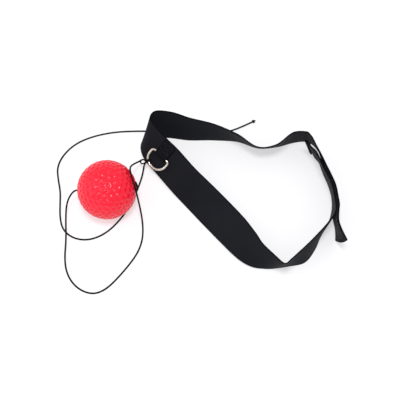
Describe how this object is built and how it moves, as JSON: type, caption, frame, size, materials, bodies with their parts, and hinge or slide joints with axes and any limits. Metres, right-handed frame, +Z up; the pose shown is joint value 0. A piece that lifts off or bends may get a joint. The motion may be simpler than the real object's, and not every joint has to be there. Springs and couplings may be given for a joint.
{
  "type": "reflex ball headband",
  "caption": "Elastic headband closed with hook-and-loop tape, a metal D-ring in a sewn tab, and a foam ball on a long elastic cord.",
  "frame": {"origin": "on the table, under the middle of the headband and ball; the free cord reaches further out on the ball's side", "axes": "+Z up from the table; +X along the longest side, from the ball to the closure"},
  "size_m": [0.3043, 0.2067, 0.0623],
  "materials": {
    "strap_webbing": "woven elastic",
    "loop_tape": "brushed loop pile",
    "hook_tape": "woven tape with nylon hooks",
    "tab_webbing": "woven webbing",
    "ring_wire": "nickel plated wire",
    "ball_foam": "dimpled foam",
    "cord": "round braided elastic"
  },
  "bodies": {
    "headband": {"strap": "strap_webbing", "loop_tape": "loop_tape", "hook_tape": "hook_tape", "ring_tab": "tab_webbing", "cord_through_ball": "cord", "cord_ball_lead": "cord", "cord_free_end": "cord", "ball_stop_knot": "cord", "cord_end_knot": "cord"},
    "ring": {"d_ring": "ring_wire", "ring_knot": "cord"},
    "ball": {"ball": "ball_foam"}
  },
  "joints": [
    {"name": "ring_swing", "type": "hinge", "parent": "headband", "child": "ring", "pos_m": [-0.05188, 0.04029, 0.02385], "axis": [-0.7007, 0.6881, 0.1885], "range_deg": [-7, 145]},
    {"name": "ball_turn", "type": "hinge", "parent": "headband", "child": "ball", "pos_m": [-0.1066, -0.004, 0.031], "axis": [1, 0, 0], "continuous": true}
  ]
}
